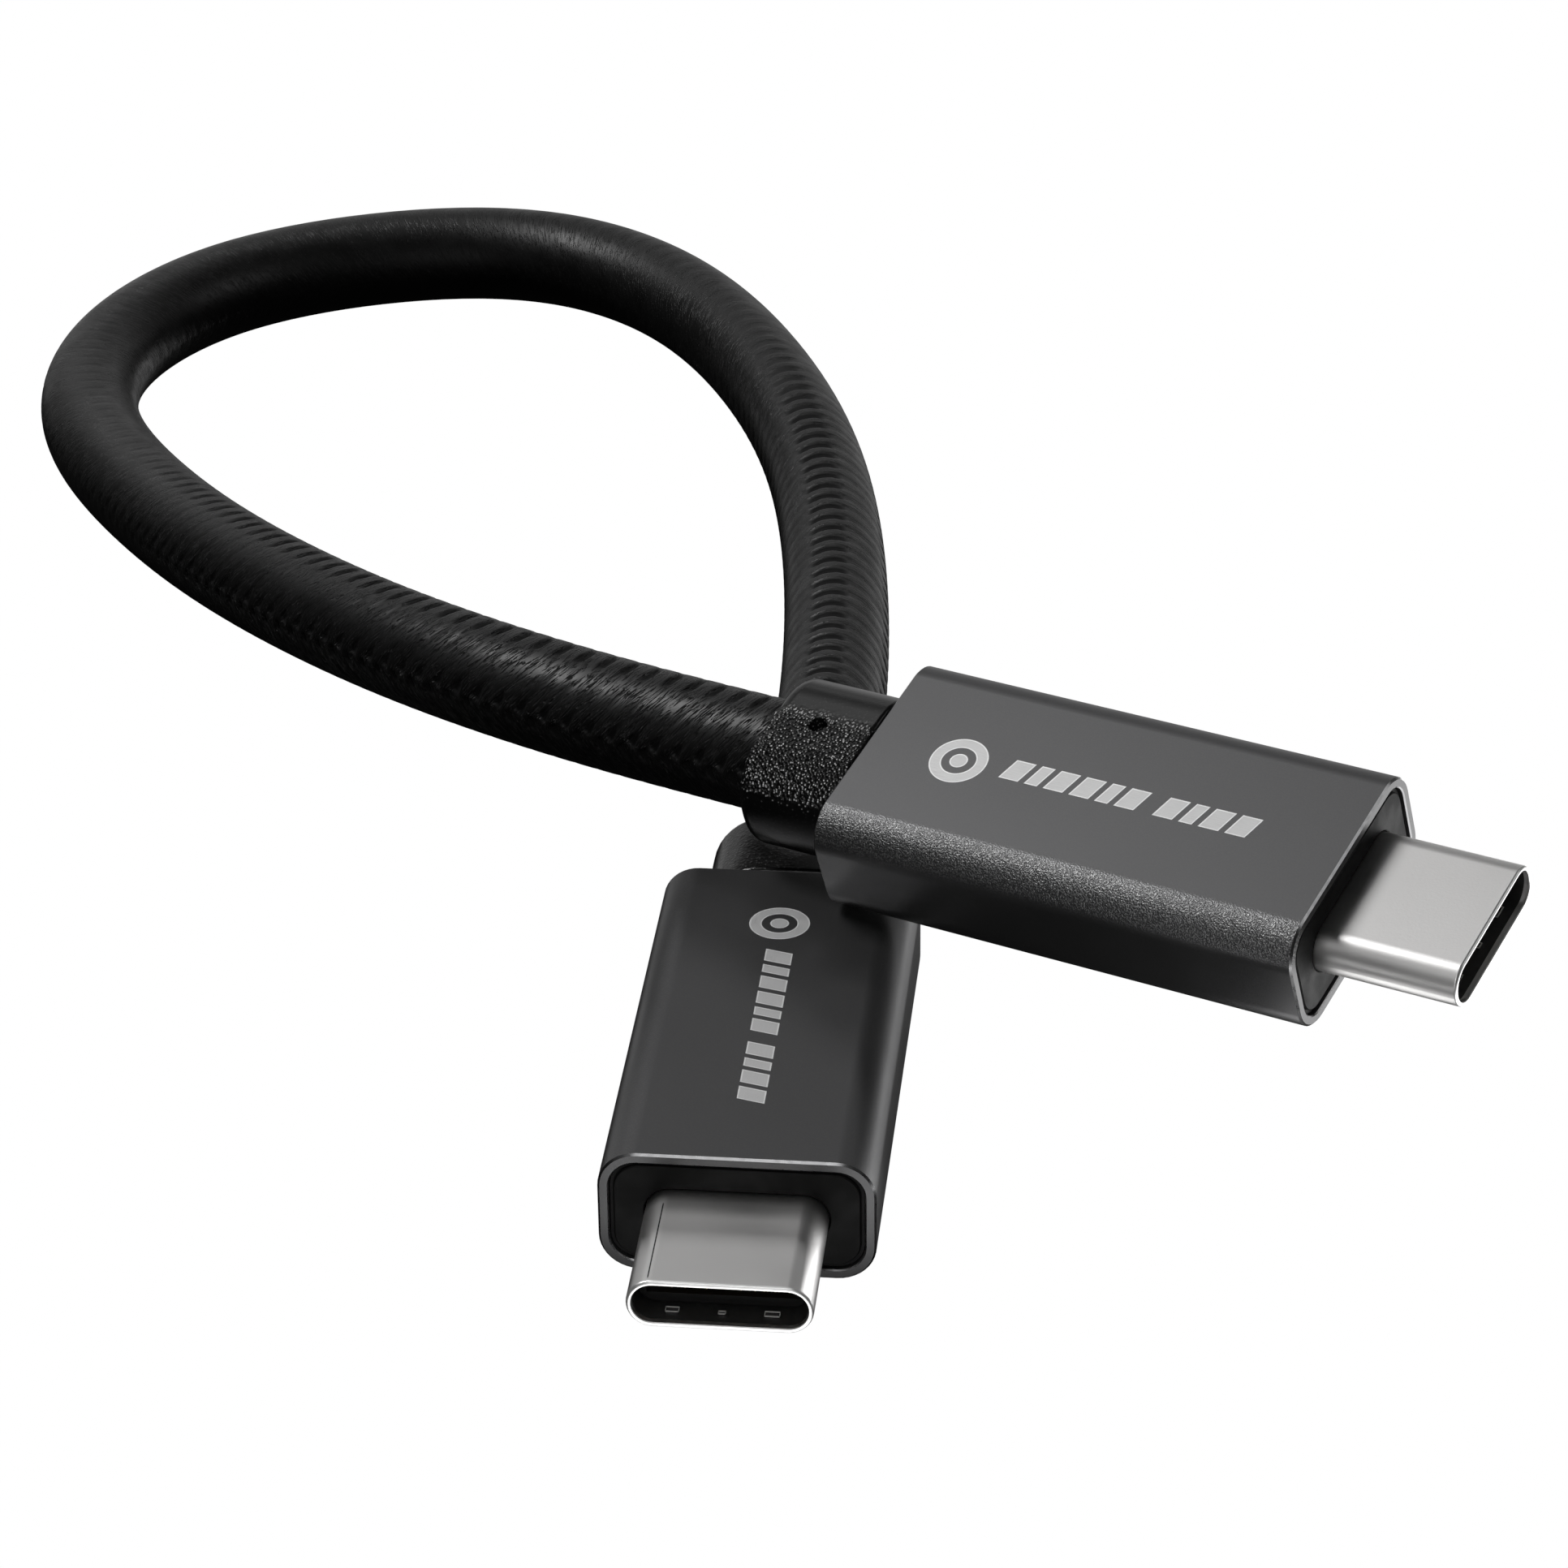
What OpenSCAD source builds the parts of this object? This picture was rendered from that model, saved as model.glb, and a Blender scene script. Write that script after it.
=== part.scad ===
// A short charging cable with a flat plug at each end.
// The frame's origin is the middle of plug B's underside, on the table.
// Plug B points along -Y. Plug A lies across its rear end.
// In a plug's own frame X runs out of its mouth, Y across and Z up from its
// middle plane, and X = 0 is the front rim of the metal housing.

/* [Housing] */
// Width of each metal housing
housing_w = 12.5; // [12:0.1:16]
// Height of each metal housing
housing_h = 6.2; // [6:0.1:8]
// Length of each metal housing, rim to rim
housing_l = 25.2; // [24:0.2:34]
// Corner radius of the housing's section
housing_r = 1.8; // [1:0.1:2.6]
// Wall of the housing
housing_wall = 0.5; // [0.3:0.05:0.6]
// Depth of the moulding's face behind each rim
face_recess = 0.1; // [0.05:0.05:0.8]
// Depth of the step round the moulding's face
face_step = 0.15; // [0.05:0.05:0.3]

/* [Plug shell] */
// Width of the steel shell
shell_w = 8.25; // [8:0.05:9.2]
// Height of the steel shell
shell_h = 2.4; // [2.2:0.05:2.9]
// Corner radius of the shell's section
shell_r = 1.19; // [0.8:0.01:1.2]
// Wall of the shell
shell_wall = 0.25; // [0.15:0.05:0.3]
// How far the shell stands out of the rim
shell_reach = 7; // [6.2:0.1:8]
// Length of shell behind the rim
shell_root = 2; // [1.8:0.1:2.4]

/* [Contacts] */
// Contact places in each row
contact_count = 12; // [8:2:12]
// Distance between contacts
contact_pitch = 0.5; // [0.4:0.05:0.5]
// Width of one contact
contact_w = 0.25; // [0.15:0.01:0.25]
// Thickness of one contact
contact_t = 0.15; // [0.1:0.01:0.2]
// Half of the gap between the two rows' noses
contact_nose_z = 0.25; // [0.2:0.01:0.3]
// Height of the slot for the mating tongue
slot_h = 0.9; // [0.8:0.05:1]
// Width of the slot for the mating tongue
slot_w = 6.8; // [6.6:0.05:6.9]
// Thickness of a side latch
latch_t = 0.18; // [0.1:0.01:0.2]
// Height of a side latch
latch_h = 0.8; // [0.5:0.05:0.85]

/* [Circuit board] */
// Width of the paddle board
board_w = 8.4; // [7.5:0.1:8.6]
// Thickness of the paddle board
board_t = 0.7; // [0.5:0.05:0.8]
// Length of the paddle board
board_l = 9; // [8:0.1:9.4]
// Side of the marker chip
chip_side = 2.5; // [2:0.1:3]
// Thickness of the marker chip
chip_t = 0.55; // [0.4:0.05:0.8]

/* [Shield can] */
// Width of the shield can
can_w = 9.3; // [9.2:0.1:9.6]
// Height of the shield can
can_h = 3.9; // [3.7:0.1:4.1]
// Length of the shield can
can_l = 12.9; // [12.8:0.1:13.4]
// Wall of the shield can
can_wall = 0.2; // [0.1:0.05:0.25]
// Length of the crimp ring
crimp_l = 3; // [2:0.1:3.4]
// Wall of the crimp ring
crimp_wall = 0.25; // [0.15:0.05:0.3]

/* [Strain relief] */
// Length of rubber collar behind the housing
collar_l = 5.7; // [4:0.1:9]
// Rubber beside the cord, left and right
collar_side = 1.6; // [0.6:0.1:2]
// Rubber above and below the cord
collar_wall = 0.3; // [0.15:0.05:0.5]
// Length of the collar's anchor inside the housing
anchor_l = 3; // [2:0.1:3.4]
// Depth to which the cord's sleeve enters the collar
socket_l = 1.2; // [0.8:0.1:2]
// Diameter of the blind mould-pin hole on top
pin_hole_d = 0.8; // [0.4:0.1:1.2]
// Depth of the blind mould-pin hole
pin_hole_depth = 0.5; // [0.2:0.05:0.6]
// Place of the pin hole behind the housing
pin_hole_back = 2.9; // [2:0.1:3.6]

/* [Cord] */
// Outer diameter of the cord
cord_d = 5.6; // [5.2:0.1:6.6]
// Least thickness of the woven outer sleeve
weave_t = 0.45; // [0.3:0.05:0.5]
// Thickness of the copper shield braid
braid_t = 0.2; // [0.1:0.05:0.25]
// Diameter of a power wire with its insulation
power_wire_d = 1; // [0.8:0.05:1.1]
// Diameter of a data wire with its insulation
data_wire_d = 0.6; // [0.4:0.05:0.65]
// Diameter of the strength strand in the middle
strand_d = 0.7; // [0.6:0.05:0.9]

/* [Place of plug A] */
// Middle of plug A's housing at its rear end, X
plug_a_x = 4.3; // [2:0.1:6]
// Middle of plug A's housing at its rear end, Y
plug_a_y = 13.7; // [12:0.1:15]
// Turn of plug A about Z, from +X
plug_a_yaw = -26; // [-40:1:-15]
// Nose-up tilt of plug A
plug_a_pitch = 2.5; // [1:0.5:6]
// Roll of plug A, with its far side up
plug_a_roll = 18; // [5:1:25]

/* [Hidden] */
// Clearance between pieces that don't move against each other
gap = 0.05;
// Solder between a contact's tail or a wire and its pad
solder = 0.03;
$fn = 48;

plug_l = housing_l + collar_l;
collar_w = cord_d + 2 * collar_side;
collar_h = cord_d + 2 * collar_wall;
collar_r = min(2.9, collar_h / 2 - 0.2);

core_w = housing_w - 2 * housing_wall - 2 * gap;
core_h = housing_h - 2 * housing_wall - 2 * gap;
core_r = max(0.6, housing_r - housing_wall - gap);
core_rear = housing_l - anchor_l;
// The front wall of the moulding, between its face and the can
core_front_wall = 1;
can_front = face_recess + core_front_wall;
can_rear = can_front + can_l;
crimp_rear = can_rear + crimp_l;

insulator_w = shell_w - 2 * shell_wall - 2 * gap;
insulator_h = shell_h - 2 * shell_wall - 2 * gap;
insulator_r = max(0.5, shell_r - shell_wall - gap);
insulator_front = shell_reach - 1.6;
insulator_rear = shell_root + 0.2;
slot_depth = 5.1;
// Room around each spring contact and latch
spring_room = 0.05;
web_h = 0.4;
bridge_l = 0.4;

board_front = insulator_rear + 0.15;
board_rear = board_front + board_l;
tail_l = 1.8;
beam_z = 0.5;
nose_front = insulator_front - 0.9;
nose_l = 0.4;
ramp_l = 0.7;

latch_y = slot_w / 2 + 0.02;
latch_rear = insulator_rear - 0.6;
latch_front = insulator_front - 0.5;
hook_l = 0.6;
hook_reach = 0.3;

ground_t = 0.1;
ground_l = 1.2;
finger_w = 0.6;
finger_h = 0.16;
finger_l = 0.5;
finger_pitch = 2.1;

lay_r = strand_d / 2 + power_wire_d / 2 + gap;
braid_in_r = lay_r + power_wire_d / 2 + gap;
braid_r = braid_in_r + braid_t;
jacket_in_r = braid_r + gap;
// The jacket has to pass through the housing's moulding
jacket_r = min(cord_d / 2 - weave_t - gap, core_h / 2 - 0.2);
weave_in_r = jacket_r + gap;
jacket_end = crimp_rear + 0.4;
braid_end = can_rear + 0.6;
sleeve_end = plug_l - socket_l;

// A plug's full thickness, and the height of plug B's middle plane
plug_h = max(housing_h, collar_h);
plug_b_z = plug_h / 2;
// How far plug A's lowest edge lies under its middle when it is rolled
plug_a_drop = (housing_w / 2 - housing_r) * sin(plug_a_roll)
    + (housing_h / 2 - housing_r) * cos(plug_a_roll) + housing_r;
plug_a_z = plug_h + plug_a_drop + gap;

// One step of a rotation about each axis, as OpenSCAD's rotate() applies them
function roll_x(p, a) = [p.x, p.y * cos(a) - p.z * sin(a), p.y * sin(a) + p.z * cos(a)];
function tilt_y(p, a) = [p.x * cos(a) + p.z * sin(a), p.y, p.z * cos(a) - p.x * sin(a)];
function yaw_z(p, a) = [p.x * cos(a) - p.y * sin(a), p.x * sin(a) + p.y * cos(a), p.z];
// A point of a plug's own frame, in the cable's frame
function on_a(p) = [plug_a_x, plug_a_y, plug_a_z]
    + yaw_z(tilt_y(roll_x(p + [housing_l, 0, 0], plug_a_roll), -plug_a_pitch), plug_a_yaw);
function on_b(p) = [0, -housing_l / 2, plug_b_z] + yaw_z(p, -90);

// Route of the cord from plug A round to plug B: X, Y and height off the table
route = [
    [-14.9, 22.6, 7.5], [-23.4, 30.1, 6], [-32.5, 40.6, 4], [-40.3, 53, 1.5],
    [-47.2, 65.9, 0], [-47.7, 76.4, 0], [-42.4, 86.3, 0], [-32, 91.6, 0],
    [-22.2, 92.4, 0], [-13.6, 86.4, 0], [-7.2, 74.8, 0], [-3.1, 62.4, 0],
    [-1, 48.4, 0], [-0.1, 36, 0]
];
// Straight length at each plug before the cord may bend
lead = 8;
route_steps = 3;
cord_sides = 12;
wire_sides = 8;

function spline_point(a, b, c, d, t) = (pow(1 - t, 3) * a
    + (3 * pow(t, 3) - 6 * t * t + 4) * b
    + (-3 * pow(t, 3) + 3 * t * t + 3 * t + 1) * c + pow(t, 3) * d) / 6;
function spline(p, steps) = [
    for (i = [0 : len(p) - 4], k = [0 : steps - 1])
        spline_point(p[i], p[i + 1], p[i + 2], p[i + 3], k / steps),
    spline_point(p[len(p) - 4], p[len(p) - 3], p[len(p) - 2], p[len(p) - 1], 1)
];
free_cord = spline(concat(
    [on_a([lead - plug_l, 0, 0]), on_a([-plug_l, 0, 0]), on_a([-plug_l - lead, 0, 0])],
    [for (p = route) [p.x, p.y, p.z + cord_d / 2]],
    [on_b([-plug_l - lead, 0, 0]), on_b([-plug_l, 0, 0]), on_b([lead - plug_l, 0, 0])]
), route_steps);

// The cord's middle line between two depths inside the plugs
function cord_line(depth) = concat(
    [on_a([-depth, 0, 0])], free_cord, [on_b([-depth, 0, 0])]);

function unit(v) = v / norm(v);
function along(p, i) = unit(p[min(i + 1, len(p) - 1)] - p[max(i - 1, 0)]);
function across(p, i) = unit(cross([0, 0, 1], along(p, i)));
function upward(p, i) = cross(along(p, i), across(p, i));
// A point beside the line, given in its cross-section
function beside(p, i, r, a) = p[i] + r * (cos(a) * across(p, i) + sin(a) * upward(p, i));
function rings(p, r, n) = [for (i = [0 : len(p) - 1], k = [0 : n - 1]) beside(p, i, r, 360 * k / n)];

// A solid round rod along the points
module rod(p, d, n) {
    m = len(p);
    polyhedron(rings(p, d / 2, n), concat(
        [[for (k = [0 : n - 1]) k]],
        [[for (k = [n - 1 : -1 : 0]) (m - 1) * n + k]],
        [for (i = [0 : m - 2], k = [0 : n - 1])
            [i * n + k, (i + 1) * n + k, (i + 1) * n + (k + 1) % n]],
        [for (i = [0 : m - 2], k = [0 : n - 1])
            [i * n + k, (i + 1) * n + (k + 1) % n, i * n + (k + 1) % n]]
    ), convexity = 8);
}

// A tube along the points, open at both ends
module tube(p, r_out, r_in, n) {
    m = len(p);
    q = m * n;
    polyhedron(concat(rings(p, r_out, n), rings(p, r_in, n)), concat(
        [for (i = [0 : m - 2], k = [0 : n - 1])
            [i * n + k, (i + 1) * n + k, (i + 1) * n + (k + 1) % n]],
        [for (i = [0 : m - 2], k = [0 : n - 1])
            [i * n + k, (i + 1) * n + (k + 1) % n, i * n + (k + 1) % n]],
        [for (i = [0 : m - 2], k = [0 : n - 1])
            [q + i * n + k, q + (i + 1) * n + (k + 1) % n, q + (i + 1) * n + k]],
        [for (i = [0 : m - 2], k = [0 : n - 1])
            [q + i * n + k, q + i * n + (k + 1) % n, q + (i + 1) * n + (k + 1) % n]],
        [for (k = [0 : n - 1]) [k, (k + 1) % n, q + (k + 1) % n]],
        [for (k = [0 : n - 1]) [k, q + (k + 1) % n, q + k]],
        [for (k = [0 : n - 1]) [q - n + k, 2 * q - n + (k + 1) % n, q - n + (k + 1) % n]],
        [for (k = [0 : n - 1]) [q - n + k, 2 * q - n + k, 2 * q - n + (k + 1) % n]]
    ), convexity = 10);
}

module on_plug_a() {
    translate([plug_a_x, plug_a_y, plug_a_z])
        rotate([plug_a_roll, -plug_a_pitch, plug_a_yaw])
            translate([housing_l, 0, 0]) children();
}

module on_plug_b() {
    translate([0, -housing_l / 2, plug_b_z]) rotate([0, 0, -90]) children();
}

// A rounded rectangle as wide as w along X and as high as h along Y
module round_rect(w, h, r) {
    square([w - 2 * r, h], center = true);
    square([w, h - 2 * r], center = true);
    for (x = [-1, 1], y = [-1, 1])
        translate([x * (w / 2 - r), y * (h / 2 - r)]) circle(r);
}

// A round-cornered bar along X, from depth to depth behind the rim
module bar(w, h, r, rear, front) {
    translate([-rear, 0, 0]) rotate([90, 0, 90])
        linear_extrude(rear - front) round_rect(w, h, r);
}

module block(size, front_x) {
    translate([front_x - size.x, -size.y / 2, -size.z / 2]) cube(size);
}

module round_hole(r, rear, front) {
    translate([-rear, 0, 0]) rotate([0, 90, 0]) cylinder(h = rear - front, r = r);
}

// Anodised sleeve, extruded and cut to length
module housing_sleeve() {
    color("#3c3c3e") difference() {
        bar(housing_w, housing_h, housing_r, housing_l, 0);
        bar(core_w + 2 * gap, core_h + 2 * gap, core_r + gap, housing_l + 1, -1);
    }
}

// Moulded block that holds the can and the shell inside the sleeve
module core_mould() {
    color("#151515") difference() {
        union() {
            bar(core_w, core_h, core_r, core_rear, face_recess + face_step);
            bar(core_w - 2 * face_step, core_h - 2 * face_step, core_r - face_step / 2,
                core_rear, face_recess);
        }
        bar(shell_w + 2 * gap, shell_h + 2 * gap, shell_r + gap, can_front + 1, 0);
        block([can_l + gap, can_w + 2 * gap, can_h + 2 * gap], -can_front);
        round_hole(braid_r + crimp_wall + 2 * gap, jacket_end, can_front + 1);
        round_hole(jacket_r + gap, core_rear + 1, jacket_end - gap);
    }
}

// Deep-drawn steel shell of the plug
module plug_shell() {
    color("#c9c9c9") difference() {
        bar(shell_w, shell_h, shell_r, shell_root, -shell_reach);
        bar(shell_w - 2 * shell_wall, shell_h - 2 * shell_wall, shell_r - shell_wall,
            shell_root + 1, -shell_reach - 1);
    }
}

// Moulded block with a groove for every contact and both latches
module contact_block() {
    groove_w = contact_w + 2 * spring_room;
    groove_front = insulator_front - bridge_l;
    color("#0c0c0c") difference() {
        bar(insulator_w, insulator_h, insulator_r, insulator_rear, -insulator_front);
        block([slot_depth + 1, slot_w, slot_h], insulator_front + 1);
        for (k = [0 : contact_count - 1], z = [-1, 1])
            translate([0, (k - (contact_count - 1) / 2) * contact_pitch, z * (web_h / 2 + shell_h / 2)])
                block([insulator_rear + groove_front + 1, groove_w, shell_h], groove_front);
        for (y = [-1, 1])
            translate([0, y * (latch_y + shell_w / 4 - spring_room), 0])
                block([latch_rear + gap + groove_front, shell_w / 2, latch_h + 2 * spring_room],
                    groove_front);
    }
}

// Side view of one spring contact: tail on the board, beam, nose and lip
module contact_side() {
    tail_z = board_t / 2 + solder;
    low = [
        [-board_front - tail_l, tail_z], [-board_front, tail_z],
        [-insulator_rear + 0.2, beam_z], [nose_front - nose_l - ramp_l, beam_z],
        [nose_front - nose_l, contact_nose_z], [nose_front, contact_nose_z],
        [nose_front + 0.3, beam_z]
    ];
    polygon(concat(low, [for (k = [len(low) - 1 : -1 : 0]) low[k] + [0, contact_t]]));
}

// One row of stamped contacts, without those whose places are left empty
module contact_row(empty) {
    color("#d8b04c")
        for (k = [0 : contact_count - 1])
            if (len(search(k, empty)) == 0)
                translate([0, (k - (contact_count - 1) / 2) * contact_pitch + contact_w / 2, 0])
                    rotate([90, 0, 0]) linear_extrude(contact_w) contact_side();
}

module upper_contacts() {
    contact_row([]);
}

// The middle two places of the lower row are empty
module lower_contacts() {
    mirror([0, 0, 1]) contact_row([contact_count / 2 - 1, contact_count / 2]);
}

// Spring arm beside the slot, with a hook that holds the mating tongue
module latch() {
    color("#d9d9d9") translate([0, 0, -latch_h / 2]) linear_extrude(latch_h)
        polygon([
            [-latch_rear, latch_y], [latch_front - 2 * hook_l, latch_y],
            [latch_front - 1.5 * hook_l, latch_y - hook_reach],
            [latch_front - hook_l, latch_y - hook_reach],
            [latch_front, latch_y], [latch_front, latch_y + latch_t],
            [-latch_rear, latch_y + latch_t]
        ]);
}

module latch_left() {
    latch();
}

module latch_right() {
    mirror([0, 1, 0]) latch();
}

// Thin sprung strips that ground the mating shell, one above and one below
module ground_springs() {
    color("#cfcfcf") for (z = [0, 1]) mirror([0, 0, z])
        translate([insulator_front + 0.05, 0, shell_h / 2 - shell_wall - gap - ground_t]) {
            translate([0, -finger_pitch - finger_w, 0])
                cube([ground_l, 2 * finger_pitch + 2 * finger_w, ground_t]);
            for (k = [-1 : 1])
                translate([ground_l - finger_l, k * finger_pitch - finger_w / 2, -finger_h])
                    cube([finger_l, finger_w, finger_h]);
        }
}

module paddle_board() {
    color("#1f5c38") block([board_l, board_w, board_t], -board_front);
}

// Marker chip that tells a charger what the cable can carry
module marker_chip() {
    color("#1a1a1a") translate([-board_front - tail_l - 0.6, 0, board_t / 2 + chip_t / 2 + solder])
        block([chip_side, chip_side, chip_t], 0);
}

// Capacitors and a resistor in two pairs beside the board's middle
module board_parts() {
    part_l = 1;
    part_w = 0.5;
    part_t = 0.4;
    color("#9a8a78") for (y = [-3, -2.1, 2.1, 3])
        translate([-board_front - tail_l - 0.8, y, board_t / 2 + part_t / 2 + solder])
            block([part_l, part_w, part_t], 0);
}

// Folded steel can around the board, split along the middle plane
module can_half() {
    difference() {
        translate([0, 0, can_h / 4 + gap / 4]) block([can_l, can_w, can_h / 2 - gap / 2], -can_front);
        block([can_l - 2 * can_wall, can_w - 2 * can_wall, can_h - 2 * can_wall],
            -can_front - can_wall);
        bar(shell_w + 2 * gap, shell_h + 2 * gap, shell_r + gap, can_front + 1, 0);
        round_hole(lay_r + power_wire_d / 2 + 2 * gap, can_rear + 1, can_rear - 1);
    }
}

module shield_can_upper() {
    color("#b8b8b8") can_half();
}

module shield_can_lower() {
    color("#b0b0b0") mirror([0, 0, 1]) can_half();
}

// Ring crimped over the copper braid behind the can
module crimp_ring() {
    color("#a8a8a8") difference() {
        round_hole(braid_r + gap + crimp_wall, crimp_rear, can_rear + gap);
        round_hole(braid_r + gap, crimp_rear + 1, can_rear - 1);
    }
}

// Rubber collar moulded round the cord, with its anchor inside the sleeve
module strain_relief() {
    color("#1c1c1c") difference() {
        union() {
            bar(collar_w, collar_h, collar_r, plug_l, housing_l);
            bar(core_w, core_h, core_r, housing_l, core_rear);
        }
        round_hole(cord_d / 2, plug_l + 1, sleeve_end);
        round_hole(jacket_r + gap, plug_l + 1, core_rear - 1);
        translate([-housing_l - pin_hole_back, 0, collar_h / 2 - pin_hole_depth])
            cylinder(h = pin_hole_depth + 1, d = pin_hole_d);
    }
}

module woven_sleeve() {
    color("#1b1b1b") tube(cord_line(sleeve_end), cord_d / 2, weave_in_r, cord_sides);
}

module cord_jacket() {
    color("#262626") tube(cord_line(jacket_end), jacket_r, jacket_in_r, cord_sides);
}

module shield_braid() {
    color("#b87333") tube(cord_line(braid_end), braid_r, braid_in_r, cord_sides);
}

module strength_strand() {
    color("#d8c26a") rod(cord_line(braid_end), strand_d, wire_sides);
}

// Wires: diameter, place round the cord, pad across the board, side of the board
vbus = [power_wire_d, 0, 3, 1];
cc = [data_wire_d, 65, 1.1, 1];
data_plus = [data_wire_d, 115, -1.1, 1];
ground = [power_wire_d, 180, -3, 1];
data_minus = [data_wire_d, 250, -0.8, -1];
fan_steps = 6;
// Length of wire that lies on its pad
pad_l = 1.4;
pad_start = board_rear - pad_l;

// How far a wire has gone from its pad to its place in the cord, from 0 to 1
function eased(t) = t * t * (3 - 2 * t);
// A wire's way from its pad to the end of the braid, as points of a plug's frame
function fan(w, hand) = [
    [-pad_start, hand * w[2], w[3] * (board_t / 2 + w[0] / 2 + solder)],
    for (k = [0 : fan_steps])
        let (t = k / fan_steps, e = eased(t))
        [-board_rear - t * (can_rear - board_rear),
            hand * ((1 - e) * w[2] + e * lay_r * cos(w[1])),
            (1 - e) * w[3] * (board_t / 2 + w[0] / 2 + solder) + e * lay_r * sin(w[1])]
];
core_line = cord_line(braid_end);
function wire_line(w) = concat(
    [for (p = fan(w, -1)) on_a(p)],
    [for (i = [1 : len(core_line) - 2]) beside(core_line, i, lay_r, w[1])],
    [for (p = reverse(fan(w, 1))) on_b(p)]);
function reverse(v) = [for (i = [len(v) - 1 : -1 : 0]) v[i]];

module wire(w) {
    rod(wire_line(w), w[0], wire_sides);
}

module vbus_wire() {
    color("#b3261e") wire(vbus);
}

module ground_wire() {
    color("#202020") wire(ground);
}

module cc_wire() {
    color("#2a5bd7") wire(cc);
}

module data_plus_wire() {
    color("#2f8f46") wire(data_plus);
}

module data_minus_wire() {
    color("#e8e8e8") wire(data_minus);
}

on_plug_a() housing_sleeve();  // housing_sleeve_a
on_plug_b() housing_sleeve();  // housing_sleeve_b
on_plug_a() core_mould();  // core_mould_a
on_plug_b() core_mould();  // core_mould_b
on_plug_a() strain_relief();  // strain_relief_a
on_plug_b() strain_relief();  // strain_relief_b
on_plug_a() plug_shell();  // plug_shell_a
on_plug_b() plug_shell();  // plug_shell_b
on_plug_a() contact_block();  // contact_block_a
on_plug_b() contact_block();  // contact_block_b
on_plug_a() upper_contacts();  // upper_contacts_a
on_plug_b() upper_contacts();  // upper_contacts_b
on_plug_a() lower_contacts();  // lower_contacts_a
on_plug_b() lower_contacts();  // lower_contacts_b
on_plug_a() latch_left();  // latch_left_a
on_plug_b() latch_left();  // latch_left_b
on_plug_a() latch_right();  // latch_right_a
on_plug_b() latch_right();  // latch_right_b
on_plug_a() ground_springs();  // ground_springs_a
on_plug_b() ground_springs();  // ground_springs_b
on_plug_a() paddle_board();  // paddle_board_a
on_plug_b() paddle_board();  // paddle_board_b
on_plug_b() marker_chip();  // marker_chip_b
on_plug_a() board_parts();  // board_parts_a
on_plug_b() board_parts();  // board_parts_b
on_plug_a() shield_can_upper();  // shield_can_upper_a
on_plug_b() shield_can_upper();  // shield_can_upper_b
on_plug_a() shield_can_lower();  // shield_can_lower_a
on_plug_b() shield_can_lower();  // shield_can_lower_b
on_plug_a() crimp_ring();  // crimp_ring_a
on_plug_b() crimp_ring();  // crimp_ring_b
woven_sleeve();
cord_jacket();
shield_braid();
strength_strand();
vbus_wire();
ground_wire();
cc_wire();
data_plus_wire();
data_minus_wire();
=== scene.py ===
import math

import bpy
import numpy as np
from mathutils import Matrix, Vector


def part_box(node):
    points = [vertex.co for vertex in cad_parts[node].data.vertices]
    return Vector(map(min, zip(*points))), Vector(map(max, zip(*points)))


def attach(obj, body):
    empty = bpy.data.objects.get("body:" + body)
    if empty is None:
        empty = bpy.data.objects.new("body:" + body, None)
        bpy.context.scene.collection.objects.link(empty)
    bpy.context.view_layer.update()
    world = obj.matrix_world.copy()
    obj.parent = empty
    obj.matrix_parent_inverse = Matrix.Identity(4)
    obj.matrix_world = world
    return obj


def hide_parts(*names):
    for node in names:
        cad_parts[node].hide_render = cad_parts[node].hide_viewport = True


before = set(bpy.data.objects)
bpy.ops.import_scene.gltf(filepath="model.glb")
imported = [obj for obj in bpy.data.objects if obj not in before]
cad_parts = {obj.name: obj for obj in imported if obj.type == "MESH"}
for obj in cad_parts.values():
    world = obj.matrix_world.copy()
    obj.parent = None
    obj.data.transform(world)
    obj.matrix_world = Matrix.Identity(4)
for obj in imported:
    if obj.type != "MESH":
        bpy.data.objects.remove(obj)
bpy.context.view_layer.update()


# Camera: a long lens a little above the table, looking over plug B's mouth
# at the whole loop of cord.
sight = Vector((-0.0916, 0.8647, -0.4939))
camera = bpy.data.objects.new("camera", bpy.data.cameras.new("camera"))
camera.data.sensor_width = 36
camera.data.lens = 121.97
camera.data.clip_start = 0.01
camera.matrix_world = (
    Matrix.Translation((0.02298, -0.20755, 0.13676))
    @ sight.to_track_quat("-Z", "Y").to_matrix().to_4x4()
    @ Matrix.Rotation(math.radians(-0.63), 4, "Z")
)
bpy.context.scene.collection.objects.link(camera)
bpy.context.scene.camera = camera


# Cord: a jacketed cable in a woven outer sleeve of flat black yarns. The yarns lie in
# four columns round the cord and lean opposite ways in neighbouring columns. It lies in
# one loop and ends inside the rubber collar of each plug.
MM = 0.001
housing_low, housing_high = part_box("housing_sleeve_b")
housing_w, housing_l, housing_h = housing_high - housing_low
plug_mid_z = (housing_low.z + housing_high.z) / 2

# Both plugs' frames: X out of the mouth, Z up from the middle plane, 0 at the front rim
plug_b = Matrix.Translation((0, housing_low.y, plug_mid_z)) @ Matrix.Rotation(-math.pi / 2, 4, "Z")
plug_a = (
    Matrix.Translation((4.3 * MM, 13.7 * MM, 10.658 * MM))
    @ Matrix.Rotation(math.radians(-26), 4, "Z")
    @ Matrix.Rotation(math.radians(-2.5), 4, "Y")
    @ Matrix.Rotation(math.radians(18), 4, "X")
    @ Matrix.Translation((housing_l, 0, 0))
)

cord_d = 5.6 * MM
collar_l = 5.7 * MM
socket_l = 1.2 * MM
collar_rear = housing_l + collar_l
lead = 8 * MM
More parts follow.
